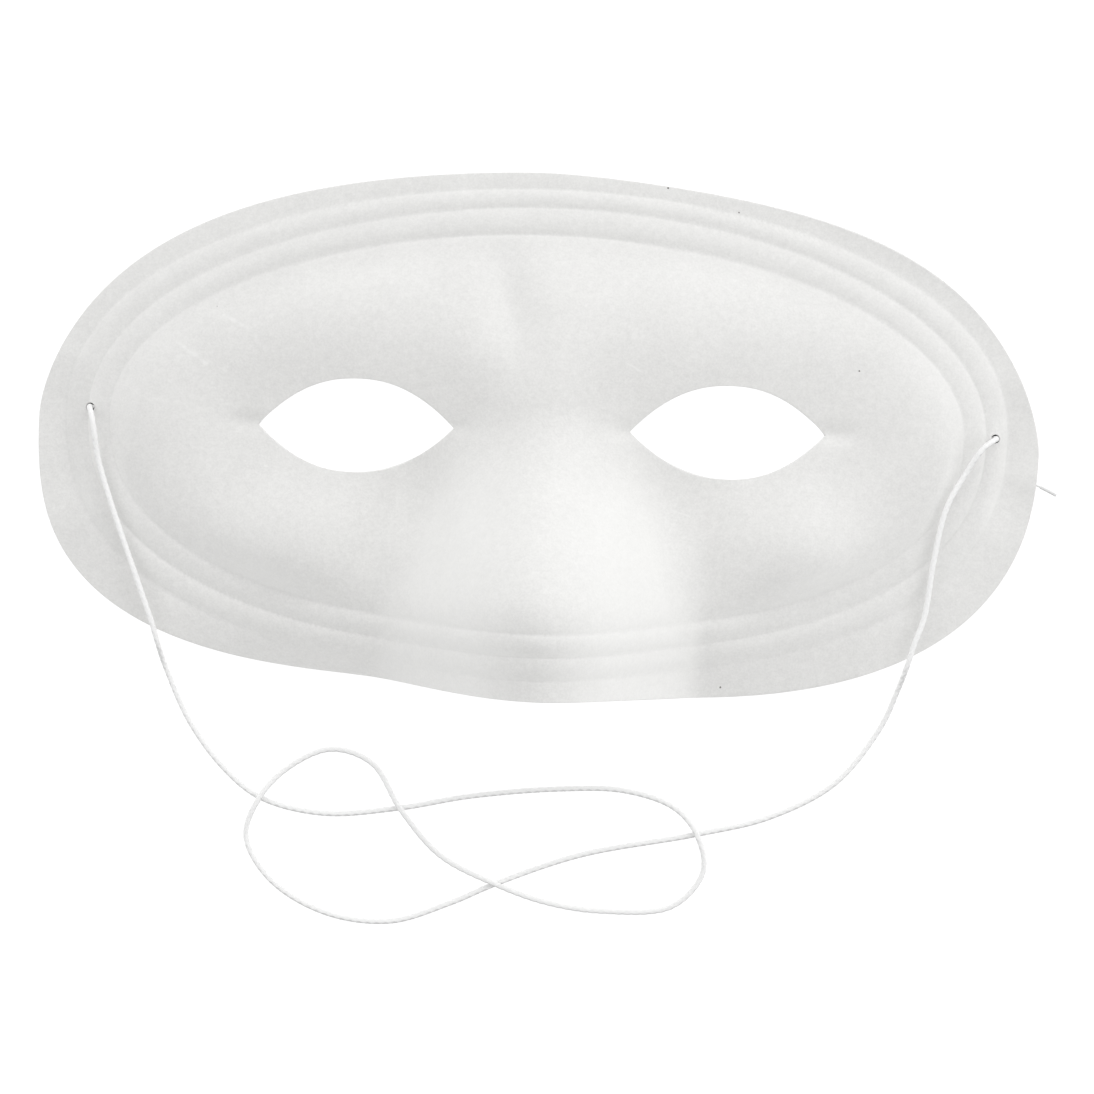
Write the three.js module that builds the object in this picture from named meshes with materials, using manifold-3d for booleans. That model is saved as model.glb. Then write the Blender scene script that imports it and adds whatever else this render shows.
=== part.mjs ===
// Half mask of thin moulded plastic with a white flock skin, and the thin elastic cord knotted through its two
// side holes. It lies on its back edge, face up, with the cord laid out in loose loops below it.
// Millimetres. X runs along the mask, Y towards the forehead, Z out of the face. The origin is on the surface
// that the mask lies on, under the middle of the mask's own box.
import * as THREE from "three";
import { mergeVertices } from "three/addons/utils/BufferGeometryUtils.js";
import Module from "manifold-3d";

// Driving dimensions of the shell.
const WALL = 0.8; // plastic sheet and flock together
const RELIEF_AT = new THREE.Vector3(0.5, 1.4, 0); // where the relief's own centre sits in the part's frame

// The crease between the rim and the face: a long oval with a flatter lower half.
const OVAL = { half: 74.7, up: 33.2, down: 34.8, powerUp: 1.99, powerDown: 2.3, x: -0.9, y: 0, turn: -0.5 };
// The cut edge: a larger oval, turned and shifted a little against the relief, with low waves that make it
// fuller at the corners. Each wave is a count round the edge and its cosine and sine parts.
const TRIM = { half: 91.1, up: 47.6, down: 45.9, powerUp: 1.74, powerDown: 2.13, x: -0.4, y: -1.9, turn: -1.3 };
const LOBE = { x: -7.5, half: 26, depth: 0.9 }; // the edge dips below the nose
const WAVES = [[3, 0.0041, 0.0026], [4, 0.0416, -0.0062], [5, -0.0031, -0.0028], [6, -0.0028, 0.003]];

// The mask's arch over the table, and the two small flat spots at its ends that it rests on.
const ARCH = { rise: 7, half: 83.2, ease: 0.06, lift: 1.4 };
const FOOT = { x: 85.6, y: -4.3, rx: 3, ry: 5, power: 4, fade: 3.2 };

// The rim: two rounded ribs side by side, and outside them the flange.
const RIB = { width: 4, bulge: 0.5, rise: 1.5 };
const FLANGE = { fall: 0.18 }; // its slope, outwards and down
const DROOP = { height: 0.6, x: -33, y: -41, rx: 12, ry: 8 }; // steeper beside the nose
const CURL = { height: 1.8, x: 62, y: 29.6, rx: 24.5, ry: 16.5, run: 5 }; // the flange turns up at one shoulder

// The face inside the crease. A swell is a smooth rise (or, below zero, a dip) at x, y with reach rx, ry.
const SHOULDER = { height: 0.45, run: 1.3 };
const DOME = { height: 4.2, power: 1.8 };
const SOCKET = { height: -11.3, x: 55, y: 23.2, rx: 34.2, ry: 20.5 };
const BROW = { height: 11.8, x: 43, y: 18.4, rx: 30.8, ry: 13 };
const CHEEK = { height: 6, x: 44.2, y: -21.4, rx: 10.5, ry: 9 };
const TEMPLE = { height: 4.7, x: 68.7, y: -1.7, rx: 9.5, ry: 12.6 };
const FURROW = { height: -2.2, x: -5.7, y: 19.9, rx: 3.5, ry: 6.1, lean: 0.15 };
const NOSE = { height: 25, top: 3.6, tip: -31.4, end: -49.4, lift: 1.6, half: 29, round: 1.8, flank: 1.65 };
const NOSE_TIP = { height: 3, x: 0, y: -34.8, rx: 34, ry: 5.2 };
const NOSE_ROOT = { height: 4.6, x: 0, y: -1.9, rx: 6.9, ry: 10.8 };
const NOSE_SIDE = { height: -4, x: 20.6, y: -13, rx: 5.2, ry: 8 };
const FACE_FADE = 1.5; // how fast the face's swells die out at the crease

// Openings.
const EYE = { x: 32.3, y: -0.6, half: 17.1, up: 8.3, down: 8, power: 2.2 };
const HOLES = { left: [-79.1, 1.7], right: [79.4, -0.7] };
const HOLE_DIAMETER = 1.7;

// The elastic cord and its knots.
const CORD_DIAMETER = 1;
const CORD_SIDES = 8;
const CORD_STEPS = 2; // from one point of the route to the next
const KNOT = { width: 2.8, height: 1.4, z: 0.85, inward: 2.3 };
const CORD_ROUTE = [
  [-78.6, 3.1, 0.8], [-78.6, 3.1, 4.6], [-78.0, 1.9, 7.3], [-77.5, -0.8, 7.7], [-76.8, -5.7, 6.4],
  [-74.6, -13.0, 6.1], [-66.9, -34.4, 6.4], [-66.0, -37.5, 5.6], [-64.6, -42.3, 2.5], [-60.3, -51.9, 0.8],
  [-54.2, -59.9, 0.6], [-47.8, -64.9, 0.6], [-36.8, -67.5, 0.6], [-23.1, -66.3, 0.6], [-10.9, -64.0, 0.6],
  [4.9, -62.4, 0.6], [16.4, -62.5, 0.6], [25.1, -65.3, 0.9], [29.0, -69.6, 1.8], [30.4, -76.5, 0.9],
  [25.1, -82.7, 0.6], [12.6, -83.8, 0.6], [2.7, -82.4, 0.9], [-6.1, -79.3, 1.8], [-15.9, -74.5, 1.0],
  [-22.9, -66.6, 1.8], [-28.2, -58.5, 0.9], [-35.5, -56.2, 0.6], [-43.1, -59.7, 0.9], [-47.9, -65.0, 1.8],
  [-50.1, -71.8, 0.9], [-45.8, -79.3, 0.6], [-36.0, -85.0, 0.6], [-24.5, -86.3, 0.6], [-14.0, -82.9, 0.6],
  [-6.2, -79.4, 0.6], [8.7, -74.0, 0.6], [29.2, -69.9, 0.6], [42.0, -66.6, 0.6], [53.3, -60.4, 0.6],
  [61.0, -50.5, 0.8], [63.7, -43.9, 2.9], [65.2, -39.0, 6.0], [66.2, -35.5, 6.6], [67.9, -30.6, 6.4],
  [69.3, -20.6, 7.1], [71.2, -11.6, 7.7], [74.5, -5.4, 7.4], [77.2, -1.2, 8.0], [78.9, 0.2, 7.2],
  [79.9, 0.7, 4.6], [79.9, 0.7, 0.8],
];

// Facets.
const SEGMENTS = 84;
const RIB_LEVELS = [2, 1.72, 1.28, 1, 0.72, 0.28, 0, -0.28]; // in rib widths outside the crease
const FACE_LEVELS = [0.92, 0.84, 0.75, 0.66, 0.57, 0.48, 0.39, 0.3, 0.21, 0.11];
const NORMAL_STEP = 0.3;

const smooth = (t) => {
  const c = Math.min(Math.max(t, 0), 1);
  return c * c * (3 - 2 * c);
};
const swell = (x, y, s) => s.height * Math.exp(-0.5 * (((x - s.x) / s.rx) ** 2 + ((y - s.y) / s.ry) ** 2));
const pair = (x, y, s) => swell(x, y, s) + swell(-x, y, s);

// A point in an oval's own frame, which is shifted and turned a little in the relief's.
function within(x, y, oval) {
  const turn = THREE.MathUtils.degToRad(oval.turn);
  const [right, up] = [x - oval.x, y - oval.y];
  return [right * Math.cos(turn) + up * Math.sin(turn), up * Math.cos(turn) - right * Math.sin(turn)];
}

// An oval's gauge: 1 on the oval, and in proportion to the distance from its centre along any ray.
function gauge(x, y, oval) {
  const power = y > 0 ? oval.powerUp : oval.powerDown;
  const reach = y > 0 ? oval.up : oval.down;
  return (Math.abs(x / oval.half) ** power + Math.abs(y / reach) ** power) ** (1 / power);
}

// How far a point lies outside the crease, square to it.
function outside(x, y) {
  const [u, v] = within(x, y, OVAL);
  const power = v > 0 ? OVAL.powerUp : OVAL.powerDown;
  const reach = v > 0 ? OVAL.up : OVAL.down;
  const g = Math.max(gauge(u, v, OVAL), 1e-6);
  const gx = (Math.abs(u / OVAL.half) / g) ** (power - 1) / OVAL.half;
  const gy = (Math.abs(v / reach) / g) ** (power - 1) / reach;
  return (g - 1) / Math.hypot(gx, gy);
}

// The trimmed edge's gauge, in the relief's frame.
function trimGauge(x, y) {
  const [u, v] = within(x, y, TRIM);
  const off = Math.min(Math.abs((u - LOBE.x) / LOBE.half), 1);
  const dip = v < 0 ? LOBE.depth * (1 - off * off) ** 2 : 0;
  const bearing = Math.atan2(v / TRIM.up, u / TRIM.half);
  const ripple = WAVES.reduce((sum, [n, c, s]) => sum + c * Math.cos(n * bearing) + s * Math.sin(n * bearing), 0);
  return gauge(u, v + dip, TRIM) * (1 + ripple);
}

// 0 on the two flat spots, and 1 away from them.
function clearOfFeet(x, y) {
  const across = (Math.abs(x) - FOOT.x) / FOOT.rx;
  const along = (y - FOOT.y) / FOOT.ry;
  const off = (across ** FOOT.power + along ** FOOT.power) ** (1 / FOOT.power);
  return smooth((off - 1) / (FOOT.fade - 1));
}

// Height of the arched rim over the table, zero on the two flat spots.
function rest(x, y) {
  const t = Math.max(1 - (x / ARCH.half) ** 2, 0);
  const arch = (t * t * (1 + ARCH.ease)) / (t + ARCH.ease);
  return ARCH.rise * arch + ARCH.lift * clearOfFeet(x, y);
}

function rim(out) {
  let z = RIB.rise * Math.min(Math.max(2 - out / RIB.width, 0) / 2, 1);
  for (const inner of [0, RIB.width]) {
    const across = (out - inner) / RIB.width;
    if (across > 0 && across < 1) z += 4 * RIB.bulge * across * (1 - across);
  }
  return z;
}

function nose(x, y) {
  const toTip = (NOSE.top - y) / (NOSE.top - NOSE.tip);
  const pastTip = Math.min(Math.max((NOSE.tip - y) / (NOSE.tip - NOSE.end), 0), 1.3);
  const height = NOSE.height * smooth(toTip) + NOSE.lift * pastTip ** 2;
  const across = Math.min(Math.abs(x) / NOSE.half, 1);
  return height * (1 - across ** NOSE.round) ** NOSE.flank + swell(x, y, NOSE_TIP);
}

// Height of the mask's front at x, y of the relief.
function front(x, y) {
  const out = outside(x, y);
  const inside = 1 / (1 + Math.exp(Math.min((out + FACE_FADE) / FACE_FADE, 50)));
  const face =
    pair(x, y, SOCKET) + pair(x, y, BROW) + pair(x, y, CHEEK) + pair(x, y, TEMPLE) + pair(x, y, NOSE_SIDE) +
    swell(x, y, NOSE_ROOT) + swell(x - FURROW.lean * (FURROW.y - y), y, FURROW);
  const pastRibs = Math.max(out - 2 * RIB.width, 0);
  const curl = swell(x, y, CURL) * (pastRibs / CURL.run) ** 2;
  const flange = clearOfFeet(x, y) * (curl - (FLANGE.fall + swell(x, y, DROOP)) * pastRibs);
  const shoulder = SHOULDER.height * (1 - Math.exp(Math.min(out, 0) / SHOULDER.run));
  const dome = DOME.height * (1 - Math.min(gauge(...within(x, y, OVAL), OVAL), 1) ** DOME.power);
  return WALL + rest(x, y) + rim(out) + flange + shoulder + dome + inside * face + nose(x, y);
}

function normalAt(x, y) {
  const h = NORMAL_STEP;
  const dx = (front(x + h, y) - front(x - h, y)) / (2 * h);
  const dy = (front(x, y + h) - front(x, y - h)) / (2 * h);
  return new THREE.Vector3(-dx, -dy, 1).normalize();
}

// Distance from the oval's centre to the trimmed edge along a ray, by halving.
function edgeRadius(cos, sin) {
  let near = 30;
  let far = 120;
  for (let i = 0; i < 40; i++) {
    const r = (near + far) / 2;
    if (trimGauge(OVAL.x + r * cos, OVAL.y + r * sin) < 1) near = r;
    else far = r;
  }
  return near;
}

// One spoke's points from the cut edge to the last ring round the centre.
function spoke(index) {
  const t = ((index + 0.5) / SEGMENTS) * 2 * Math.PI;
  const angle = Math.atan2(Math.sin(t) * OVAL.up, Math.cos(t) * OVAL.half);
  const crease = 1 / gauge(Math.cos(angle), Math.sin(angle), OVAL);
  const bearing = angle + THREE.MathUtils.degToRad(OVAL.turn);
  const [cos, sin] = [Math.cos(bearing), Math.sin(bearing)];
  const perWidth = RIB.width / (outside(OVAL.x + 2 * crease * cos, OVAL.y + 2 * crease * sin) / crease);
  const edge = edgeRadius(cos, sin);
  const radii = [edge];
  const ribs = RIB_LEVELS.map((level) => crease + level * perWidth);
  radii.push((edge + ribs[0]) / 2, ...ribs, ...FACE_LEVELS.map((level) => level * crease));
  return radii.map((r) => [OVAL.x + r * cos, OVAL.y + r * sin]);
}

function toGeometry(positions, triangles) {
  const geometry = new THREE.BufferGeometry();
  geometry.setAttribute("position", new THREE.Float32BufferAttribute(positions, 3));
  geometry.setIndex(triangles);
  return geometry;
}

// The shell before its openings are cut: the front, the back a wall's thickness behind it, and the cut edge.
function blankShell() {
  const spokes = Array.from({ length: SEGMENTS }, (_, i) => spoke(i));
  const rings = spokes[0].length;
  const positions = [];
  const triangles = [];
  const add = (x, y) => {
    const z = front(x, y);
    const n = normalAt(x, y);
    positions.push(x, y, z, x - WALL * n.x, y - WALL * n.y, z - WALL * n.z);
  };
  for (const points of spokes) for (const [x, y] of points) add(x, y);
  add(OVAL.x, OVAL.y);
  const at = (s, ring, back) => 2 * ((s % SEGMENTS) * rings + ring) + back;
  const centre = 2 * SEGMENTS * rings;
  for (let s = 0; s < SEGMENTS; s++) {
    for (let ring = 0; ring < rings - 1; ring++) {
      const [a, b] = [at(s, ring, 0), at(s + 1, ring, 0)];
      const [c, d] = [at(s, ring + 1, 0), at(s + 1, ring + 1, 0)];
      triangles.push(a, b, d, a, d, c);
      triangles.push(a + 1, d + 1, b + 1, a + 1, c + 1, d + 1);
    }
    const [outerA, outerB] = [at(s, 0, 0), at(s + 1, 0, 0)];
    triangles.push(outerA, outerA + 1, outerB + 1, outerA, outerB + 1, outerB);
    const [innerA, innerB] = [at(s, rings - 1, 0), at(s + 1, rings - 1, 0)];
    triangles.push(innerA, innerB, centre, innerA + 1, centre + 1, innerB + 1);
  }
  return toGeometry(positions, triangles);
}

// An upright cutter of an eye's almond outline.
function eyeCutter(side) {
  const count = 20;
  const at = (u, reach) => {
    const height = 1 - Math.abs(u) ** EYE.power;
    return new THREE.Vector2(side * EYE.x + EYE.half * u, EYE.y + reach * height);
  };
  const points = [];
  for (let i = 0; i < count; i++) points.push(at(-Math.cos((i / count) * Math.PI), EYE.up));
  for (let i = 0; i < count; i++) points.push(at(Math.cos((i / count) * Math.PI), -EYE.down));
  return new THREE.ExtrudeGeometry(new THREE.Shape(points), { depth: 60, bevelEnabled: false, steps: 1 });
}

// An upright drill for one cord hole, in line with the cord that comes up through it.
function holeCutter([x, y]) {
  const drill = new THREE.CylinderGeometry(HOLE_DIAMETER / 2, HOLE_DIAMETER / 2, 8, 14);
  return drill.rotateX(Math.PI / 2).translate(x, y, front(x, y) - WALL / 2);
}

const wasm = await Module();
wasm.setup();

function solid(geometry) {
  const bare = geometry.clone();
  bare.deleteAttribute("normal");
  bare.deleteAttribute("uv");
  const merged = mergeVertices(bare, 1e-4);
  return new wasm.Manifold(
    new wasm.Mesh({
      numProp: 3,
      vertProperties: merged.attributes.position.array,
      triVerts: new Uint32Array(merged.index.array),
    }),
  );
}

function shellGeometry() {
  const cutters = [eyeCutter(-1), eyeCutter(1), holeCutter(HOLES.left), holeCutter(HOLES.right)];
  const cut = cutters.reduce((shell, cutter) => shell.subtract(solid(cutter)), solid(blankShell()));
  const mesh = cut.getMesh();
  return toGeometry(mesh.vertProperties, new THREE.BufferAttribute(mesh.triVerts, 1));
}

// A curve that is sampled evenly from point to point, so that it is finest where its points are closest.
class Route extends THREE.CatmullRomCurve3 {
  getUtoTmapping(u) {
    return u;
  }
}

// The free cord between its knots, a plain tube along the route.
function cordGeometry() {
  const path = new Route(CORD_ROUTE.map((p) => new THREE.Vector3(...p)), false, "centripetal");
  const section = new THREE.Shape(
    Array.from({ length: CORD_SIDES }, (_, i) => {
      const angle = ((i + 0.5) / CORD_SIDES) * 2 * Math.PI;
      const r = CORD_DIAMETER / 2;
      return new THREE.Vector2(r * Math.cos(angle), r * Math.sin(angle));
    }),
  );
  const steps = CORD_STEPS * (CORD_ROUTE.length - 1);
  return new THREE.ExtrudeGeometry(section, { steps, extrudePath: path, bevelEnabled: false });
}

// A knot beside the cord's end behind a hole, too wide to pull through it.
function knotGeometry() {
  return new THREE.SphereGeometry(KNOT.width / 2, 12, 8).scale(1, 1, KNOT.height / KNOT.width);
}

const flockedPlastic = new THREE.MeshStandardMaterial({ color: 0xf1f1ef, roughness: 0.95, metalness: 0 });
const elastic = new THREE.MeshStandardMaterial({ color: 0xf4f4f2, roughness: 0.8, metalness: 0 });

function named(name, geometry, material) {
  const mesh = new THREE.Mesh(geometry, material);
  mesh.name = name;
  return mesh;
}

const shell = named("mask_shell", shellGeometry(), flockedPlastic);
shell.position.copy(RELIEF_AT);

const mask = new THREE.Group();
mask.add(shell, named("elastic_cord", cordGeometry(), elastic));
for (const [side, [x, y]] of Object.entries(HOLES)) {
  const knot = named("knot_" + side, knotGeometry(), elastic);
  knot.position.set(x - Math.sign(x) * KNOT.inward + RELIEF_AT.x, y + RELIEF_AT.y, KNOT.z);
  mask.add(knot);
}

export default mask;
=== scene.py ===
import math

import bpy
import numpy as np
from mathutils import Matrix, Vector
from mathutils.geometry import delaunay_2d_cdt


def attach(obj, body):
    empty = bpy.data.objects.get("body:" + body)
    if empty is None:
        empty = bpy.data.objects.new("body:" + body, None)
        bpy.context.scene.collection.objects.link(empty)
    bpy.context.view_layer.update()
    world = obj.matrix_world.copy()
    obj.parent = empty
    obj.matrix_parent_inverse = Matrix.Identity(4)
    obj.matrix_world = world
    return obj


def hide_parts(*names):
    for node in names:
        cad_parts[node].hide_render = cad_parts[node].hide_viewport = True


MM = 0.001
TINY = 1e-6
BLACK = (0.0, 0.0, 0.0, 1)
WHITE = (1, 1, 1, 1)
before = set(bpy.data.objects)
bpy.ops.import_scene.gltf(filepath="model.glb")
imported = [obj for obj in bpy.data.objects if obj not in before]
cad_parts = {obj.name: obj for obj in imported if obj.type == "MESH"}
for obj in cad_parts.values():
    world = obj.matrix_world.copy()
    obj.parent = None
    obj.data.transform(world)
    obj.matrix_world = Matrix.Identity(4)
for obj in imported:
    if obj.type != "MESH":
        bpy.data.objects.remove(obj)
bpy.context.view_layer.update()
scene = bpy.context.scene

# The camera, straight above the mask but for a small lean towards the forehead. Distances are in mm.
PICTURE_PIXELS = 1094
FOCAL_PIXELS = 5121
SENSOR = 36
CAMERA_AT = (1.8, -19.9)  # the table point at the picture's middle
CAMERA_AWAY = 900
CAMERA_LEAN = math.radians(2)
CAMERA_ROLL = math.radians(-1.16)
CAMERA_CLIP = (0.01, 20)  # in metres


def make_camera():
    back = Vector((0, math.sin(CAMERA_LEAN), math.cos(CAMERA_LEAN)))
    right = Vector((math.cos(CAMERA_ROLL), -math.sin(CAMERA_ROLL), 0))
    right = (right - back * right.dot(back)).normalized()
    up = back.cross(right)
    place = (Vector((*CAMERA_AT, 0)) + back * CAMERA_AWAY) * MM
    data = bpy.data.cameras.new("camera")
    data.sensor_width = SENSOR
    data.lens = SENSOR * FOCAL_PIXELS / PICTURE_PIXELS
    data.clip_start, data.clip_end = CAMERA_CLIP
    camera = bpy.data.objects.new("camera", data)
    camera.matrix_world = Matrix.Translation(place) @ Matrix((right, up, back)).transposed().to_4x4()
    scene.collection.objects.link(camera)
    scene.camera = camera


make_camera()

# The relief, in mm in its own frame, by the same names as the solids. What follows FINE is relief that only
# the surface here has.
WALL = 0.8
RELIEF_AT = np.array([0.5, 1.4, 0.0])  # the relief's own middle, in the part's frame
OVAL = dict(half=74.7, up=33.2, down=34.8, power_up=1.99, power_down=2.3, x=-0.9, y=0, turn=-0.5)
TRIM = dict(half=91.1, up=47.6, down=45.9, power_up=1.74, power_down=2.13, x=-0.4, y=-1.9, turn=-1.3)
LOBE = dict(x=-7.5, half=26, depth=0.9)
WAVES = [(3, 0.0041, 0.0026), (4, 0.0416, -0.0062), (5, -0.0031, -0.0028), (6, -0.0028, 0.003)]
ARCH = dict(rise=7, half=83.2, ease=0.06, lift=1.4)
FOOT = dict(x=85.6, y=-4.3, rx=3, ry=5, power=4, fade=3.2)
RIB = dict(width=4, bulge=0.5, rise=1.5)
FLANGE = dict(fall=0.18)
CURL = dict(height=1.8, x=62, y=29.6, rx=24.5, ry=16.5, run=5)
DROOP = dict(height=0.6, x=-33, y=-41, rx=12, ry=8)
SHOULDER = dict(height=0.45, run=1.3)
DOME = dict(height=4.2, power=1.8)
SOCKET = dict(height=-11.3, x=55, y=23.2, rx=34.2, ry=20.5)
BROW = dict(height=11.8, x=43, y=18.4, rx=30.8, ry=13)
CHEEK = dict(height=6, x=44.2, y=-21.4, rx=10.5, ry=9)
TEMPLE = dict(height=4.7, x=68.7, y=-1.7, rx=9.5, ry=12.6)
FURROW = dict(height=-2.2, x=-5.7, y=19.9, rx=3.5, ry=6.1, lean=0.15)
NOSE = dict(height=25, top=3.6, tip=-31.4, end=-49.4, lift=1.6, half=29, round=1.8, flank=1.65)
NOSE_LIFT_STOP = 1.3  # the lift grows up to here, 0 being the nose's tip and 1 its end
NOSE_TIP = dict(height=3, x=0, y=-34.8, rx=34, ry=5.2)
NOSE_ROOT = dict(height=4.6, x=0, y=-1.9, rx=6.9, ry=10.8)
NOSE_SIDE = dict(height=-4, x=20.6, y=-13, rx=5.2, ry=8)
FACE_FADE = 1.5
FADE_LIMIT = 50  # keeps the fade's exponent in range
EYE = dict(x=32.3, y=-0.6, half=17.1, up=8.3, down=8, power=2.2)
HOLES = dict(left=(-79.1, 1.7), right=(79.4, -0.7))
HOLE_DIAMETER = 1.7
# FINE
FLANGE_ROLL = dict(height=0.32, run=1.2)
RIB_SHIFT = dict(height=0.8, x=14, y=40, rx=36, ry=12)  # the crease between the ribs lies further out here
CREASE_DEEP = dict(height=-0.16, x=-12, y=34, rx=34, ry=13, run=0.42)
FURROW_FOLD = dict(height=-0.45, x=-5.9, y=21.5, rx=1.35, ry=6.2, lean=0.15)
END_LIFT = dict(height=0.4, x=86, y=-8.43, rx=5, ry=2, lean=0.32)  # the edge lies on the cord's cut end here
EYE_CORNERS = [
    dict(height=height, x=x, y=-0.4, rx=2.4, ry=1.2)
    for x, height in ((-50.8, -0.8), (-14.2, -0.4), (14.2, -0.6), (50.6, -0.95))
]


def smooth(t):
    t = np.clip(t, 0, 1)
    return t * t * (3 - 2 * t)


def swell(x, y, s):
    return s["height"] * np.exp(-0.5 * (((x - s["x"]) / s["rx"]) ** 2 + ((y - s["y"]) / s["ry"]) ** 2))


def pair(x, y, s):
    return swell(x, y, s) + swell(-x, y, s)


def within(x, y, oval):
    """The point x, y in the oval's own turned frame."""
    turn = math.radians(oval["turn"])
    right, up = x - oval["x"], y - oval["y"]
    return right * math.cos(turn) + up * math.sin(turn), up * math.cos(turn) - right * math.sin(turn)


def gauge(x, y, oval):
    """0 in the oval's middle and 1 on its line."""
    power = np.where(y > 0, oval["power_up"], oval["power_down"])
    reach = np.where(y > 0, oval["up"], oval["down"])
    return (np.abs(x / oval["half"]) ** power + np.abs(y / reach) ** power) ** (1 / power)


def outside(x, y):
    """How far outside the oval crease x, y lies, nearly in mm."""
    u, v = within(x, y, OVAL)
    power = np.where(v > 0, OVAL["power_up"], OVAL["power_down"])
    reach = np.where(v > 0, OVAL["up"], OVAL["down"])
    g = np.maximum(gauge(u, v, OVAL), TINY)
    gx = (np.abs(u / OVAL["half"]) / g) ** (power - 1) / OVAL["half"]
    gy = (np.abs(v / reach) / g) ** (power - 1) / reach
    return (g - 1) / np.hypot(gx, gy)


def trim_gauge(x, y):
    """Under 1 inside the shell's wavy cut edge."""
    u, v = within(x, y, TRIM)
    off = np.minimum(np.abs((u - LOBE["x"]) / LOBE["half"]), 1)
    bearing = np.arctan2(v / TRIM["up"], u / TRIM["half"])
    ripple = sum(c * np.cos(n * bearing) + s * np.sin(n * bearing) for n, c, s in WAVES)
    return gauge(u, v + np.where(v < 0, LOBE["depth"] * (1 - off * off) ** 2, 0), TRIM) * (1 + ripple)


def clear_of_feet(x, y):
    """0 on the two flat spots that the mask rests on, and 1 away from them."""
    across = (np.abs(x) - FOOT["x"]) / FOOT["rx"]
    along = (y - FOOT["y"]) / FOOT["ry"]
    off = (across ** FOOT["power"] + along ** FOOT["power"]) ** (1 / FOOT["power"])
    return smooth((off - 1) / (FOOT["fade"] - 1))


def rest(x, y):
    """The arch of the whole shell over the table."""
    t = np.maximum(1 - (x / ARCH["half"]) ** 2, 0)
    arch = t * t * (1 + ARCH["ease"]) / (t + ARCH["ease"])
    return ARCH["rise"] * arch + ARCH["lift"] * clear_of_feet(x, y)


def rim(out, crease):
    """The two ribs, with their middle crease so far out from the inner one."""
    z = RIB["rise"] * np.minimum(np.maximum(2 - out / RIB["width"], 0) / 2, 1)
    for start, end in ((0, crease), (crease, 2 * RIB["width"])):
        across = np.clip((out - start) / (end - start), 0, 1)
        z = z + 4 * RIB["bulge"] * across * (1 - across)
    return z


def nose(x, y):
    to_tip = (NOSE["top"] - y) / (NOSE["top"] - NOSE["tip"])
    past_tip = np.clip((NOSE["tip"] - y) / (NOSE["tip"] - NOSE["end"]), 0, NOSE_LIFT_STOP)
    height = NOSE["height"] * smooth(to_tip) + NOSE["lift"] * past_tip**2
    across = np.minimum(np.abs(x) / NOSE["half"], 1)
    return height * (1 - across ** NOSE["round"]) ** NOSE["flank"] + swell(x, y, NOSE_TIP)


def front(x, y):
    """Height of the mask's front at x, y of the relief."""
    out = outside(x, y)
    inside = 1 / (1 + np.exp(np.clip((out + FACE_FADE) / FACE_FADE, -FADE_LIMIT, FADE_LIMIT)))
    face = sum(pair(x, y, form) for form in (SOCKET, BROW, CHEEK, TEMPLE, NOSE_SIDE))
    face = face + swell(x, y, NOSE_ROOT)
    for fold in (FURROW, FURROW_FOLD):
        face = face + swell(x - fold["lean"] * (fold["y"] - y), y, fold)
    for corner in EYE_CORNERS:
        face = face + swell(x, y, corner)
    past_ribs = np.maximum(out - 2 * RIB["width"], 0)
    curl = swell(x, y, CURL) * (past_ribs / CURL["run"]) ** 2
    roll = FLANGE_ROLL["height"] * (1 - np.exp(-past_ribs / FLANGE_ROLL["run"]))
    shoulder = SHOULDER["height"] * (1 - np.exp(np.minimum(out, 0) / SHOULDER["run"]))
    dome = DOME["height"] * (1 - np.minimum(gauge(*within(x, y, OVAL), OVAL), 1) ** DOME["power"])
    flange = clear_of_feet(x, y) * (curl + roll - (FLANGE["fall"] + swell(x, y, DROOP)) * past_ribs)
    ribs = rim(out, RIB["width"] + swell(x, y, RIB_SHIFT))
    ribs = ribs + swell(x, y, CREASE_DEEP) * np.exp(-0.5 * (out / CREASE_DEEP["run"]) ** 2)
    lift = swell(x, y + END_LIFT["lean"] * (x - END_LIFT["x"]), END_LIFT)
    return WALL + lift + rest(x, y) + ribs + flange + shoulder + dome + inside * face + nose(x, y)


def normals(x, y, step=0.05):
    dx = (front(x + step, y) - front(x - step, y)) / (2 * step)
    dy = (front(x, y + step) - front(x, y - step)) / (2 * step)
    n = np.stack([-dx, -dy, np.ones_like(dx)], 1)
    return n / np.linalg.norm(n, axis=1, keepdims=True)


def mesh_object(name, points, faces, materials, looks=None):
    """A smooth-shaded mesh, its points given in mm. looks gives each face's material by its number."""
    mesh = bpy.data.meshes.new(name)
    mesh.from_pydata([tuple(p) for p in np.asarray(points) * MM], [], [tuple(map(int, f)) for f in faces])
    for material in materials:
        mesh.materials.append(material)
    mesh.polygons.foreach_set("use_smooth", [True] * len(mesh.polygons))
    if looks is not None:
        mesh.polygons.foreach_set("material_index", np.asarray(looks, np.int32))
    mesh.update()
    made = bpy.data.objects.new(name, mesh)
    scene.collection.objects.link(made)
    return made


def by_number(values):
    return {f"i{i}": value for i, value in enumerate(values)}


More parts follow.
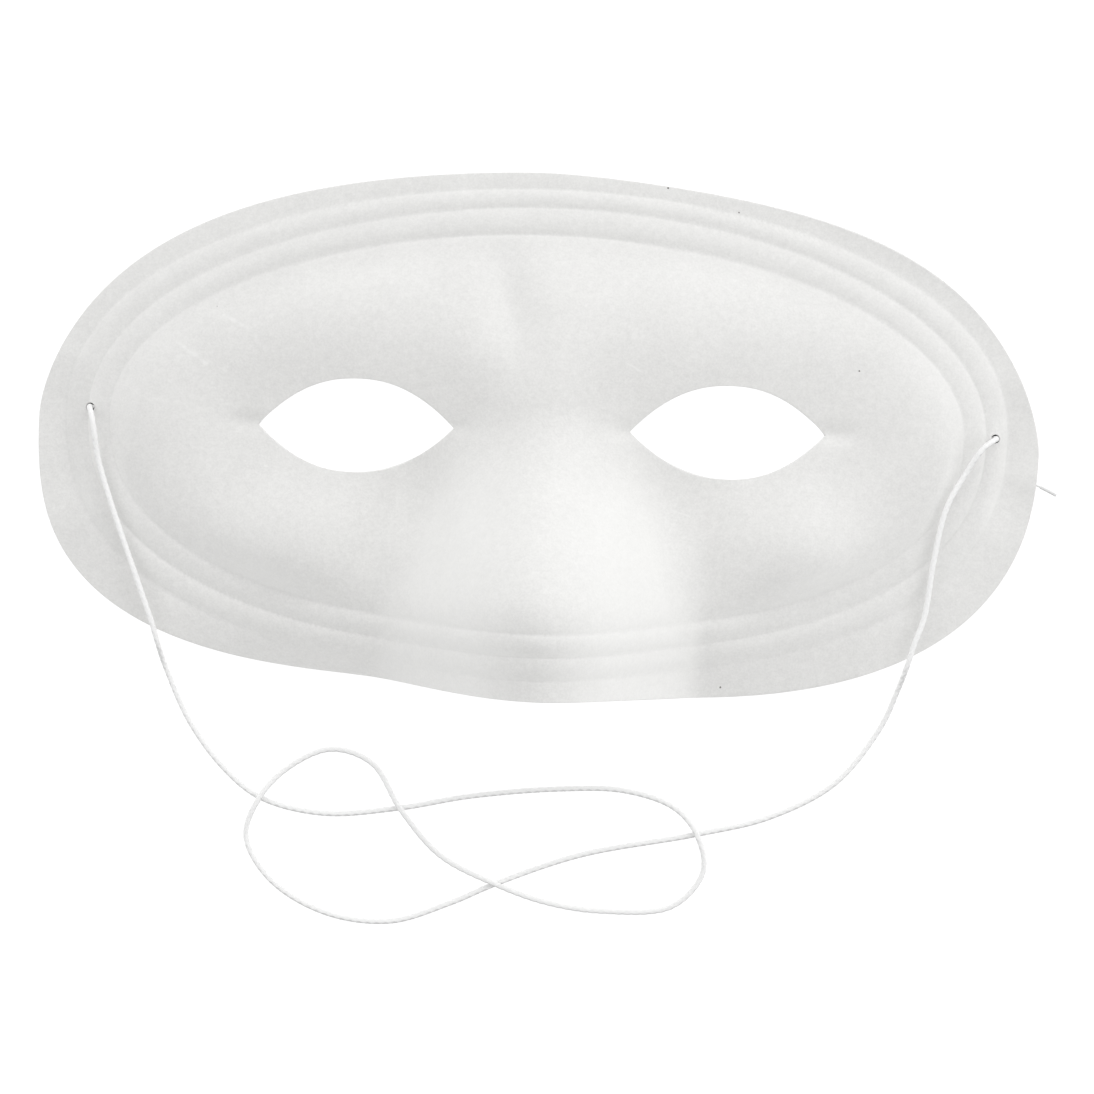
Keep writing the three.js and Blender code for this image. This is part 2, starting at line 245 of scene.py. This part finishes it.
class Nodes:
    """A short way to write a node tree."""

    def __init__(self, tree):
        self.tree = tree
        tree.nodes.clear()

    def add(self, kind, settings=None, **inputs):
        """A node. Its inputs are given by name, with _ for a space, or by number as i0, i1 and so on."""
        made = self.tree.nodes.new(kind)
        for key, value in (settings or {}).items():
            setattr(made, key, value)
        for key, value in inputs.items():
            numbered = key[0] == "i" and key[1:].isdigit()
            socket = made.inputs[int(key[1:]) if numbered else key.replace("_", " ")]
            if isinstance(value, bpy.types.NodeSocket):
                self.tree.links.new(value, socket)
            else:
                socket.default_value = value
        return made

    def place(self):
        return self.add("ShaderNodeTexCoord").outputs["Object"]

    def math(self, operation, *values, clamp=False):
        settings = {"operation": operation, "use_clamp": clamp}
        return self.add("ShaderNodeMath", settings, **by_number(values)).outputs[0]

    def vector(self, operation, *values):
        made = self.add("ShaderNodeVectorMath", {"operation": operation}, **by_number(values))
        return made.outputs["Value" if operation in ("DISTANCE", "DOT_PRODUCT") else "Vector"]

    def noise(self, place, scale, detail=2.0, roughness=0.5):
        made = self.add("ShaderNodeTexNoise", Vector=place, Scale=scale, Detail=detail, Roughness=roughness)
        return made.outputs[0]

    def mix(self, factor, a, b):
        return self.add("ShaderNodeMix", {"data_type": "RGBA"}, i0=factor, i6=a, i7=b).outputs[2]

    def ramp(self, value, start, end, at_start=0.0, at_end=1.0, kind="LINEAR"):
        """at_start where the value is start or less, at_end where it is end or more."""
        made = self.add(
            "ShaderNodeMapRange", {"interpolation_type": kind}, Value=value, From_Min=start, From_Max=end,
            To_Min=at_start, To_Max=at_end,
        )
        return made.outputs[0]

    def bump(self, height, strength, distance):
        return self.add("ShaderNodeBump", Strength=strength, Distance=distance, Height=height).outputs[0]

    def surface(self, **looks):
        """The material's shader and its output."""
        shader = self.add("ShaderNodeBsdfPrincipled", **looks)
        self.add("ShaderNodeOutputMaterial", Surface=shader.outputs[0])


def new_material(name):
    material = bpy.data.materials.new(name)
    material.use_nodes = True
    return material, Nodes(material.node_tree)


# The flock. Noise scales are per metre, specks and scuffs are in mm in the part's frame.
GRAIN = dict(scale=2400, detail=3, roughness=0.7)
CLUMPS = dict(scale=900, detail=3, roughness=0.6)
PATCHES = dict(scale=130, detail=4, roughness=0.6)
FIBRES = dict(scale=5200, detail=2, roughness=0.7)
TONE = dict(grain=0.5, clumps=0.3, patches=0.2)
FLOCK_DARK = (0.63, 0.628, 0.618, 1)
FLOCK_PALE = (0.995, 0.992, 0.978, 1)
# painted sheen: the colour the flock turns to where its surface turns away from the view
FLOCK_PAINTED_SHEEN = (0.98, 0.98, 0.965, 1)
PAINTED_SHEEN_RAMP = dict(power=1.6, gain=2.0, most=0.4)  # how the painted sheen colour comes in as the surface turns away from the view
FLOCK_BUMP = dict(grain=0.7, fibres=0.3, strength=0.5, distance=0.00006)
SPECKS = [  # the middle, and how far from it the speck may reach
    (21.6, 43.2, 0.32), (34.0, 39.2, 0.24), (55.4, 12.1, 0.26), (32.5, -43.5, 0.3), (-56.4, 21.1, 0.16),
]
SPECK_COLOUR = (0.16, 0.15, 0.14, 1)
SPECK_RAGGED = 5000  # the scale of the noise that makes their edges ragged
SCUFFS = [  # both ends and the width
    ((-55.1, 19.6), (-50.6, 17.3), 0.5), ((-63.1, 14.7), (-57.9, 11.1), 0.5),
    ((14.8, 12.8), (17.3, 11.3), 0.25), ((23.1, -12.6), (26.4, -13.7), 0.25),
]
SCUFF_COLOUR = (0.97, 0.97, 0.96, 1)
SCUFF_STRENGTH = 0.6


def flock_material():
    """Short white fibres on the plastic: fine grain, a soft sheen partly painted into the colour, faint
    mottling, scuffs and dark specks.
    """
    material, n = new_material("flock")
    place = n.place()
    grain, clumps, patches = (n.noise(place, **noise) for noise in (GRAIN, CLUMPS, PATCHES))
    tone = n.math("ADD", n.math("MULTIPLY", grain, TONE["grain"]), n.math("MULTIPLY", clumps, TONE["clumps"]))
    tone = n.math("ADD", tone, n.math("MULTIPLY", patches, TONE["patches"]))
    colour = n.mix(tone, FLOCK_DARK, FLOCK_PALE)
    # painted sheen: the colour turns paler as the surface turns away from the view, as standing fibres look
    # from the side
    facing = n.add("ShaderNodeLayerWeight", Blend=0.5).outputs["Facing"]
    painted_sheen = n.math("MULTIPLY", n.math("POWER", facing, PAINTED_SHEEN_RAMP["power"]), PAINTED_SHEEN_RAMP["gain"])
    colour = n.mix(n.math("MINIMUM", painted_sheen, PAINTED_SHEEN_RAMP["most"]), colour, FLOCK_PAINTED_SHEEN)
    flat = n.vector("MULTIPLY", place, (1, 1, 0))
    for start, end, width in SCUFFS:
        start, end = Vector((*start, 0)) * MM, Vector((*end, 0)) * MM
        run = end - start
        from_start = n.vector("SUBTRACT", flat, start)
        part = n.math("DIVIDE", n.vector("DOT_PRODUCT", from_start, run), run.length_squared, clamp=True)
        nearest = n.add("ShaderNodeVectorMath", {"operation": "SCALE"}, i0=run, Scale=part).outputs[0]
        mark = n.ramp(n.vector("DISTANCE", from_start, nearest), 0.0, width * MM, SCUFF_STRENGTH, 0.0)
        colour = n.mix(n.math("MULTIPLY", mark, clumps), colour, SCUFF_COLOUR)
    for x, y, size in SPECKS:
        away = n.vector("DISTANCE", flat, (x * MM, y * MM, 0))
        wobble = n.math("MULTIPLY", n.noise(place, SPECK_RAGGED), size * MM)
        mark = n.math("LESS_THAN", n.math("ADD", away, wobble), size * MM)
        colour = n.mix(mark, colour, SPECK_COLOUR)
    low = n.math("MULTIPLY", grain, FLOCK_BUMP["grain"])
    fine = n.math("MULTIPLY", n.noise(place, **FIBRES), FLOCK_BUMP["fibres"])
    n.surface(
        Base_Color=colour, Roughness=0.95, Sheen_Weight=0.25, Sheen_Roughness=0.45, Specular_IOR_Level=0.1,
        Normal=n.bump(n.math("ADD", low, fine), FLOCK_BUMP["strength"], FLOCK_BUMP["distance"]),
    )
    return material


SHEET_CLOUDS = dict(scale=90, detail=3)
SHEET_SATIN = dict(scale=400, detail=3)
SHEET_GRAIN = dict(scale=700, detail=2)
SHEET_DARK = (0.74, 0.74, 0.735, 1)
SHEET_PALE = (0.84, 0.84, 0.83, 1)
SHEET_ROUGH = (0.35, 0.6)


def sheet_material():
    """The bare plastic sheet of the back and the cut edges: smoother, with a faint satin gloss."""
    material, n = new_material("sheet")
    place = n.place()
    n.surface(
        Base_Color=n.mix(n.noise(place, **SHEET_CLOUDS), SHEET_DARK, SHEET_PALE),
        Roughness=n.ramp(n.noise(place, **SHEET_SATIN), 0.0, 1.0, *SHEET_ROUGH),
        Normal=n.bump(n.noise(place, **SHEET_GRAIN), strength=0.3, distance=0.00005),
    )
    return material


YARN = dict(scale=6000, detail=2, roughness=0.6)
YARN_DARK = (0.78, 0.78, 0.78, 1)
YARN_PALE = (0.96, 0.96, 0.955, 1)
# painted glow: the yarn gives out a little light of its own, stronger on its lit side
YARN_PAINTED_GLOW = 0.07
GREY_TAIL_SPAN = dict(start=0.0855, end=0.0872)  # where the cord turns grey towards the end of its right tail, in metres to the right of the middle
GREY_TAIL_COLOUR = (0.72, 0.72, 0.72, 1)
PAINTED_LIT_SIDE = (0, 0.9, 0.45)  # painted shade: the yarn's colour and glow are paler on this side, and darker on the opposite one
# painted shade: how far the yarn darkens towards black on its side away from the light
PAINTED_SHADE = dict(start=-0.75, end=0.1, at_start=0.45)


def elastic_material():
    """White braided elastic: soft yarn with a faint painted glow, painted shade on its side towards the chin,
    and grey towards the end of its right tail.
    """
    material, n = new_material("elastic")
    place = n.place()
    fibre = n.noise(place, **YARN)
    colour = n.mix(fibre, YARN_DARK, YARN_PALE)
    # the cord is grey along the last part of its right tail
    end = n.ramp(n.add("ShaderNodeSeparateXYZ", Vector=place).outputs[0], **GREY_TAIL_SPAN)
    colour = n.mix(end, colour, GREY_TAIL_COLOUR)
    # painted shade: the yarn's colour and glow darken on its side towards the mask's chin and underneath
    facing = n.vector("DOT_PRODUCT", n.add("ShaderNodeNewGeometry").outputs["Normal"], PAINTED_LIT_SIDE)
    painted_shade = n.ramp(facing, **PAINTED_SHADE)
    n.surface(
        Base_Color=n.mix(painted_shade, BLACK, colour), Roughness=0.75, Sheen_Weight=0.5, Sheen_Roughness=0.5,
        Normal=n.bump(fibre, strength=0.4, distance=0.00004), Emission_Color=WHITE,
        Emission_Strength=n.math("MULTIPLY", painted_shade, YARN_PAINTED_GLOW),
    )
    return material


ELASTIC = elastic_material()

# The cord: the same route as its solid, in mm in the part's frame.
CORD_DIAMETER = 1
CORD_STEP = 0.24  # between the rings of the braid
CORD_ROUTE = [
    (-78.6, 3.1, 0.8), (-78.6, 3.1, 4.6), (-78.0, 1.9, 7.3), (-77.5, -0.8, 7.7), (-76.8, -5.7, 6.4),
    (-74.6, -13.0, 6.1), (-66.9, -34.4, 6.4), (-66.0, -37.5, 5.6), (-64.6, -42.3, 2.5), (-60.3, -51.9, 0.8),
    (-54.2, -59.9, 0.6), (-47.8, -64.9, 0.6), (-36.8, -67.5, 0.6), (-23.1, -66.3, 0.6), (-10.9, -64.0, 0.6),
    (4.9, -62.4, 0.6), (16.4, -62.5, 0.6), (25.1, -65.3, 0.9), (29.0, -69.6, 1.8), (30.4, -76.5, 0.9),
    (25.1, -82.7, 0.6), (12.6, -83.8, 0.6), (2.7, -82.4, 0.9), (-6.1, -79.3, 1.8), (-15.9, -74.5, 1.0),
    (-22.9, -66.6, 1.8), (-28.2, -58.5, 0.9), (-35.5, -56.2, 0.6), (-43.1, -59.7, 0.9), (-47.9, -65.0, 1.8),
    (-50.1, -71.8, 0.9), (-45.8, -79.3, 0.6), (-36.0, -85.0, 0.6), (-24.5, -86.3, 0.6), (-14.0, -82.9, 0.6),
    (-6.2, -79.4, 0.6), (8.7, -74.0, 0.6), (29.2, -69.9, 0.6), (42.0, -66.6, 0.6), (53.3, -60.4, 0.6),
    (61.0, -50.5, 0.8), (63.7, -43.9, 2.9), (65.2, -39.0, 6.0), (66.2, -35.5, 6.6), (67.9, -30.6, 6.4),
    (69.3, -20.6, 7.1), (71.2, -11.6, 7.7), (74.5, -5.4, 7.4), (77.2, -1.2, 8.0), (78.9, 0.2, 7.2),
    (79.9, 0.7, 4.6), (79.9, 0.7, 0.8),
]


def spline(points, spacing, fineness=24):
    """A centripetal curve through the points, as points the given distance apart, and its length."""
    p = np.array(points, float)
    p = np.vstack([2 * p[0] - p[1], p, 2 * p[-1] - p[-2]])
    dense = []
    for a, b, c, d in zip(p, p[1:], p[2:], p[3:]):
        gaps = [max(np.linalg.norm(v - u), TINY) ** 0.5 for u, v in ((a, b), (b, c), (c, d))]
        marks = np.cumsum([0] + gaps)
        t = np.linspace(marks[1], marks[2], fineness, endpoint=False)[:, None]

        def blend(u, v, i, j):
            return (marks[j] - t) / (marks[j] - marks[i]) * u + (t - marks[i]) / (marks[j] - marks[i]) * v

        ab, bc, cd = blend(a, b, 0, 1), blend(b, c, 1, 2), blend(c, d, 2, 3)
        dense.append(blend(blend(ab, bc, 0, 2), blend(bc, cd, 1, 3), 1, 2))
    dense = np.vstack([*dense, p[-2:-1]])
    run = distances(dense)
    at = np.linspace(0, run[-1], max(int(round(run[-1] / spacing)), 2) + 1)
    return np.stack([np.interp(at, run, dense[:, i]) for i in range(3)], 1), run[-1]


def distances(path):
    """How far along the path each of its points is."""
    return np.concatenate([[0], np.cumsum(np.linalg.norm(np.diff(path, axis=0), axis=1))])


NOT_ALONG = (0.3, 0.9, 0.31)  # no path here starts in this direction


def frames(path):
    """Two directions square to the path at each of its points, carried along without a twist."""
    along = np.gradient(path, axis=0)
    along /= np.linalg.norm(along, axis=1, keepdims=True)
    side = np.cross(along[0], NOT_ALONG)
    sides = []
    for t in along:
        side = side - t * side.dot(t)
        side = side / np.linalg.norm(side)
        sides.append(side)
    sides = np.array(sides)
    return sides, np.cross(along, sides)


def tube(name, path, radius, material, around=18):
    """A tube along the path. radius is a function of the angle round it and the distance along it, in mm."""
    a, b = frames(path)
    angle = np.linspace(0, 2 * np.pi, around, endpoint=False)
    r = radius(angle[None, :], distances(path)[:, None])[..., None]
    spokes = np.cos(angle)[:, None] * a[:, None, :] + np.sin(angle)[:, None] * b[:, None, :]
    ring = path[:, None, :] + r * spokes
    points = np.vstack([ring.reshape(-1, 3), path[:1], path[-1:]])
    count = len(path)
    i, j = np.meshgrid(np.arange(count - 1), np.arange(around), indexing="ij")
    k = (j + 1) % around
    here, onward = i * around, (i + 1) * around
    quads = np.stack([here + j, here + k, onward + k, onward + j], -1).reshape(-1, 4)
    j = np.arange(around)
    k = (j + 1) % around
    middle = np.full(around, count * around)
    last = (count - 1) * around
    start = np.stack([middle, k, j], 1)
    end = np.stack([middle + 1, last + j, last + k], 1)
    return mesh_object(name, points, [*quads.tolist(), *start.tolist(), *end.tolist()], [material])


BRAID = dict(width=0.93, strands=3, pitch=4.6, depth=0.06)


def braid(diameter):
    """The radius of a tube with raised strands that wind round it both ways."""
    def radius(angle, run):
        turn = 2 * np.pi * run / BRAID["pitch"]
        one = np.cos(BRAID["strands"] * (angle + turn))
        other = np.cos(BRAID["strands"] * (angle - turn) + np.pi / 2)
        return diameter / 2 * (1 - BRAID["depth"]) + diameter * BRAID["depth"] * np.maximum(one, other)

    return radius


cord_path = spline(CORD_ROUTE, CORD_STEP)[0]
cord = tube("braided_cord", cord_path, braid(BRAID["width"] * CORD_DIAMETER), ELASTIC)

# The knots under the shell, in mm. The shell's edge presses the right tail thin, from start to stop, both
# measured from its cut end.
KNOT = dict(size=0.36, depth=1.35, away=2.9, height=1.0, gap=0.55, turn=np.pi / 3, points=90, every=6)
KNOT_STEP = 0.12
KNOT_LEAD = (1.4, 0.75)  # the heights of the cord's way down under its hole
END = dict(radius=0.27, pressed=0.14, start=2.9, start_run=0.6, stop=12, stop_run=1.5)
TAILS = dict(
    left=[(-73.6, 1.2, 0.5), (-71.8, -0.8, 0.45), (-70.6, -3.4, 0.45)],
    right=[
        (76.2, -2.6, 0.5), (79.0, -4.5, 0.3), (83.6, -6.0, 0.15), (87.4, -7.3, 0.15), (88.6, -7.8, 0.28),
        (91.0, -9.0, 0.28),
    ],
)


def knot_loop(x, y, way):
    """An overhand knot lying flat beside the cord's end."""
    t = np.linspace(KNOT["gap"], 2 * np.pi - KNOT["gap"], KNOT["points"]) + KNOT["turn"]
    across = np.sin(t) + 2 * np.sin(2 * t)
    along = np.cos(t) - 2 * np.cos(2 * t)
    loop = np.stack([way * across, along, -KNOT["depth"] * np.sin(3 * t)], 1) * KNOT["size"]
    return np.array([x + way * KNOT["away"], y, KNOT["height"]]) + loop


def knot(side):
    """One end of the cord: down under its hole, round the knot and along its tail."""
    x, y = HOLES[side] + RELIEF_AT[:2]
    loop = knot_loop(x, y, 1 if side == "left" else -1)
    lead = np.array([[x, y, z] for z in KNOT_LEAD])
    if np.linalg.norm(loop[0] - lead[-1]) > np.linalg.norm(loop[-1] - lead[-1]):
        loop = loop[::-1]
    path, length = spline([*lead, *loop[:: KNOT["every"]], *TAILS[side]], KNOT_STEP)
    pressed = END["pressed"] if side == "right" else 0

    def radius(angle, run):
        to_end = length - run
        under_edge = smooth((to_end - END["start"]) / END["start_run"])
        under_edge = under_edge * smooth((END["stop"] - to_end) / END["stop_run"])
        return END["radius"] - pressed * under_edge

    return tube("knot_" + side + "_tied", path, radius, ELASTIC, around=10)


knots = [knot(side) for side in ("left", "right")]
for piece, node in zip(knots, ("knot_left", "knot_right")):
    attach(piece, "root")
    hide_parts(node)
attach(cord, "root")
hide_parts("elastic_cord")

# The shell's surface, in mm.
SPOKES = 520
RIM_OUT = [  # how far outside the crease each ring of points lies
    8, 7.7, 7.2, 6.6, 6, 5.4, 5.0, 4.7, 4.5, 4.3, 4.15, 4.0, 3.8, 3.4, 2.8, 2.2, 1.6, 1.0, 0.6, 0.3, 0, -0.25,
    -0.6, -1.1, -1.7,
]
FLANGE_PARTS = [0.08, 0.18, 0.3, 0.44, 0.58, 0.72, 0.86]  # where the flange has rings, as parts of its width
EDGE_FROM_MIDDLE = (30.0, 120.0)  # the cut edge is looked for between these
EDGE_HALVINGS = 40
EDGE_ROUND = 0.12  # the cut edge bulges this far, and a ring of points lies as far inside it
EDGE_STEPS = (0.08, 0.3, 0.7, 0.92)  # parts of the wall at which the cut edge has its points
GRID = 0.8  # between the points of the face
GRID_ROW = 0.866  # between its rows, as a part of GRID, for even triangles
GRID_X = (-78, 76)
GRID_Y = (-36, 36)
GRID_GAP = 0.45  # between the grid and the last ring
EYE_POINTS = 56  # on each half of an eye's outline
EYE_STRETCH = 1.6  # how much faster a grown outline grows at its narrow corners
EYE_RINGS = (EDGE_ROUND, 0.45, 0.95)  # extra rings of points, so far outside the outline
EYE_CLEAR = 1.3  # no points of the grid or the rim are nearer
HOLE_POINTS = 24
HOLE_RINGS = (EDGE_ROUND, 0.45)
HOLE_CLEAR = 0.85
HOLE_SLACK = 0.01  # the outline's straight sides lie nearly this far inside its circle
HOLE_UPRIGHT = (0.9, 2.6)  # the wall is upright so near a hole's middle, and square to the sheet so far off
MERGE = 1e-7
UP = np.array([0.0, 0.0, 1.0])


def rim_rings():
    """Rings of points from the cut edge in to the face, outermost first."""
    t = (np.arange(SPOKES) + 0.5) / SPOKES * 2 * np.pi
    angle = np.arctan2(np.sin(t) * OVAL["up"], np.cos(t) * OVAL["half"])
    crease = 1 / gauge(np.cos(angle), np.sin(angle), OVAL)
    bearing = angle + math.radians(OVAL["turn"])
    c, s = np.cos(bearing), np.sin(bearing)

    def place(r):
        return OVAL["x"] + r * c, OVAL["y"] + r * s

    per_mm = crease / outside(*place(2 * crease))
    near, far = (np.full(SPOKES, r) for r in EDGE_FROM_MIDDLE)
    for _ in range(EDGE_HALVINGS):
        middle = (near + far) / 2
        inner = trim_gauge(*place(middle)) < 1
        near, far = np.where(inner, middle, near), np.where(inner, far, middle)
    ribs_end = crease + RIM_OUT[0] * per_mm
    radii = [near, near - EDGE_ROUND]
    radii += [ribs_end + (near - ribs_end) * part for part in reversed(FLANGE_PARTS)]
    radii += [crease + out * per_mm for out in RIM_OUT]
    return [np.stack(place(r), 1) for r in radii]


def eye_size(grow):
    """Half an eye's width, its height and its depth, grown by so many mm."""
    return EYE["half"] + EYE_STRETCH * grow, EYE["up"] + grow, EYE["down"] + grow


def eye_ring(side, grow):
    half, up, down = eye_size(grow)
    u = -np.cos(np.linspace(0, np.pi, EYE_POINTS + 1)[:-1])
    bow = 1 - np.abs(u) ** EYE["power"]
    upper = np.stack([side * EYE["x"] + half * u, EYE["y"] + up * bow], 1)
    lower = np.stack([side * EYE["x"] - half * u, EYE["y"] - down * bow], 1)
    return np.vstack([upper, lower])


def in_eye(p, side, grow):
    half, up, down = eye_size(grow)
    u = (p[:, 0] - side * EYE["x"]) / half
    bow = 1 - np.minimum(np.abs(u), 1) ** EYE["power"]
    v = p[:, 1] - EYE["y"]
    return (np.abs(u) < 1) & (v < up * bow) & (v > -down * bow)


def hole_ring(place, grow):
    t = np.linspace(0, 2 * np.pi, HOLE_POINTS + 1)[:-1]
    r = HOLE_DIAMETER / 2 + grow
    return np.stack([place[0] + r * np.cos(t), place[1] + r * np.sin(t)], 1)


def from_hole(p, place):
    return np.hypot(p[:, 0] - place[0], p[:, 1] - place[1])


def in_hole(p, place, grow):
    return from_hole(p, place) < HOLE_DIAMETER / 2 + grow


def free_points(rings):
    """The points of the face and the rim, clear of the eyes and the cord holes."""
    rows = []
    for k, y in enumerate(np.arange(*GRID_Y, GRID * GRID_ROW)):
        x = np.arange(*GRID_X, GRID) + (k % 2) * GRID / 2
        rows.append(np.stack([x, np.full_like(x, y)], 1))
    grid = np.vstack(rows)
    grid = grid[outside(grid[:, 0], grid[:, 1]) < RIM_OUT[-1] - GRID_GAP]
    free = np.vstack([*rings, grid])
    for side in (-1, 1):
        free = free[~in_eye(free, side, EYE_CLEAR)]
    for place in HOLES.values():
        free = free[~in_hole(free, place, HOLE_CLEAR)]
    return free


def shell_sheet():
    """Points of the flat pattern and its triangles, with the eyes and the cord holes left open."""
    rings = rim_rings()
    loops = [rings[0], eye_ring(-1, 0), eye_ring(1, 0), *(hole_ring(p, 0) for p in HOLES.values())]
    soft = [eye_ring(side, grow) for side in (-1, 1) for grow in EYE_RINGS]
    soft += [hole_ring(p, grow) for p in HOLES.values() for grow in HOLE_RINGS]
    points, edges = [], []
    for loop in loops:
        first = sum(map(len, points))
        points.append(loop)
        count = len(loop)
        edges += [(first + i, first + (i + 1) % count) for i in range(count)]
    points = np.vstack([*points, *soft, free_points(rings[1:])])
    made = delaunay_2d_cdt([Vector(p) for p in points], edges, [], 0, MERGE, False)
    flat = np.array([tuple(v) for v in made[0]])
    triangles = np.array([tuple(f) for f in made[2]])
    middle = flat[triangles].mean(1)
    keep = trim_gauge(middle[:, 0], middle[:, 1]) < 1
    for side in (-1, 1):
        keep &= ~in_eye(middle, side, 0)
    for place in HOLES.values():
        keep &= ~in_hole(middle, place, -HOLE_SLACK)
    triangles = triangles[keep]
    used = np.unique(triangles)
    renumber = np.zeros(len(flat), int)
    renumber[used] = np.arange(len(used))
    return flat[used], renumber[triangles]


def boundary(triangles):
    """The directed edges that only one triangle has."""
    pairs = np.vstack([triangles[:, [0, 1]], triangles[:, [1, 2]], triangles[:, [2, 0]]])
    seen = {tuple(p) for p in pairs.tolist()}
    return np.array([p for p in seen if (p[1], p[0]) not in seen])


def ways_out(top, n, edges):
    """The way out of the sheet at each point of its edges, for the rounding of the cut edge."""
    way = np.zeros_like(top)
    outward = np.cross(top[edges[:, 1]] - top[edges[:, 0]], n[edges[:, 0]])
    np.add.at(way, edges[:, 0], outward)
    np.add.at(way, edges[:, 1], outward)
    way = way[np.unique(edges)]
    return way / np.linalg.norm(way, axis=1, keepdims=True)


def ways_through(flat, n):
    """The way through the wall at each point: square to the sheet, but upright round the cord holes."""
    through = n.copy()
    upright_to, upright_end = HOLE_UPRIGHT
    for place in HOLES.values():
        upright = smooth((upright_end - from_hole(flat, place)) / (upright_end - upright_to))[:, None]
        through = through * (1 - upright) + upright * UP / n[:, 2:3]
    return through


def make_shell():
    flat, triangles = shell_sheet()
    a, b, c = (flat[triangles[:, i]] for i in range(3))
    turned = (b[:, 0] - a[:, 0]) * (c[:, 1] - a[:, 1]) - (b[:, 1] - a[:, 1]) * (c[:, 0] - a[:, 0]) < 0
    triangles[turned] = triangles[turned][:, ::-1]
    n = normals(flat[:, 0], flat[:, 1])
    top = np.column_stack([flat, front(flat[:, 0], flat[:, 1])])
    count = len(flat)
    edges = boundary(triangles)
    rim_points = np.unique(edges)
    slot_of = np.full(count, -1)
    slot_of[rim_points] = np.arange(len(rim_points))
    way = ways_out(top, n, edges)
    through = ways_through(flat, n)
    points = [top, top - WALL * through]
    faces = [*triangles.tolist(), *(triangles[:, ::-1] + count).tolist()]
    looks = [0] * len(triangles) + [1] * len(triangles)
    rows = [edges]
    for k, part in enumerate(EDGE_STEPS):
        bulge = EDGE_ROUND * math.sin(math.pi * part) ** 0.5
        points.append(top[rim_points] - WALL * part * through[rim_points] + bulge * way)
        rows.append(2 * count + k * len(rim_points) + slot_of[edges])
    rows.append(edges + count)
    for k, (upper, lower) in enumerate(zip(rows, rows[1:])):
        faces += np.column_stack([upper[:, 1], upper[:, 0], lower[:, 0], lower[:, 1]]).tolist()
        looks += [0 if k == 0 else 1] * len(edges)
    materials = [flock_material(), sheet_material()]
    return mesh_object("flocked_shell", np.vstack(points) + RELIEF_AT, faces, materials, looks)


shell = make_shell()
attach(shell, "root")
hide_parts("mask_shell")

# The table glows, but for a spot of painted shade under each cord hole: dark and without glow, so the holes
# look dark.
TABLE_HALF = 3000
TABLE_TOP = -0.02
TABLE_CLOUDS = dict(scale=30, detail=3)
TABLE_DARK = (0.2, 0.2, 0.2, 1)
TABLE_PALE = (0.22, 0.22, 0.22, 1)
TABLE_GLOW = 0.92
# painted shade: the dark colour of the table under each cord hole
HOLE_SHADE_COLOUR = (0.02, 0.02, 0.02, 1)
HOLE_SHADE_EDGE = dict(start=0.003, end=0.006)  # where the painted shade under a hole fades out, in metres from the hole's middle


def make_table():
    material, n = new_material("table")
    place = n.place()
    colour = n.mix(n.noise(place, **TABLE_CLOUDS), TABLE_DARK, TABLE_PALE)
    outside_hole_shade = 1.0
    # painted shade: the table's colour and glow fade out round the point under each hole
    for x, y in HOLES.values():
        under = ((x + RELIEF_AT[0]) * MM, (y + RELIEF_AT[1]) * MM, TABLE_TOP * MM)
        clear = n.ramp(n.vector("DISTANCE", place, under), **HOLE_SHADE_EDGE)
        outside_hole_shade = n.math("MULTIPLY", outside_hole_shade, clear)
    n.surface(
        Base_Color=n.mix(outside_hole_shade, HOLE_SHADE_COLOUR, colour), Roughness=0.9, Emission_Color=WHITE,
        Emission_Strength=n.math("MULTIPLY", outside_hole_shade, TABLE_GLOW),
    )
    corners = [(TABLE_HALF * i, TABLE_HALF * j, TABLE_TOP) for i, j in ((-1, -1), (1, -1), (1, 1), (-1, 1))]
    mesh_object("table", corners, [(0, 1, 2, 3)], [material])


# The light tent: darker at the horizon and overhead, brightest half way up, and brighter at the upper right.
# The ramps run over the height of the direction, from 0 at the horizon to 1 overhead.
TENT_HORIZON = dict(start=0.0, end=0.45, at_start=0.45)
TENT_OVERHEAD = dict(start=0.8, end=1.0, at_start=1.0, at_end=0.25)
TENT_LEAN = dict(x=0.17, y=0.42)
TENT_STRENGTH = 1.11


def make_world():
    world = bpy.data.worlds.new("tent")
    world.use_nodes = True
    scene.world = world
    n = Nodes(world.node_tree)
    way = n.add("ShaderNodeTexCoord").outputs["Generated"]
    x, y, z = n.add("ShaderNodeSeparateXYZ", Vector=way).outputs
    low = n.ramp(z, kind="SMOOTHSTEP", **TENT_HORIZON)
    high = n.ramp(z, kind="SMOOTHSTEP", **TENT_OVERHEAD)
    lean = n.math("ADD", n.math("MULTIPLY", y, TENT_LEAN["y"]), n.math("MULTIPLY", x, TENT_LEAN["x"]))
    glow = n.math("MULTIPLY", n.math("MULTIPLY", low, high), n.math("ADD", lean, 1.0))
    strength = n.math("MULTIPLY", glow, TENT_STRENGTH)
    shader = n.add("ShaderNodeBackground", Color=WHITE, Strength=strength)
    n.add("ShaderNodeOutputWorld", Surface=shader.outputs[0])


def make_light(name, azimuth, elevation, away, size, watts):
    """A round area light that looks at the frame's origin, from so many metres away."""
    a, e = math.radians(azimuth), math.radians(elevation)
    way = Vector((math.cos(a) * math.cos(e), math.sin(a) * math.cos(e), math.sin(e)))
    data = bpy.data.lights.new(name, "AREA")
    data.shape, data.size, data.energy = "DISK", size, watts
    light = bpy.data.objects.new(name, data)
    light.location = way * away
    light.rotation_mode = "QUATERNION"
    light.rotation_quaternion = way.to_track_quat("Z", "Y")
    scene.collection.objects.link(light)


make_table()
make_world()
make_light("key", azimuth=62, elevation=42, away=1.2, size=0.4, watts=0.5)
scene.view_settings.view_transform = "Standard"
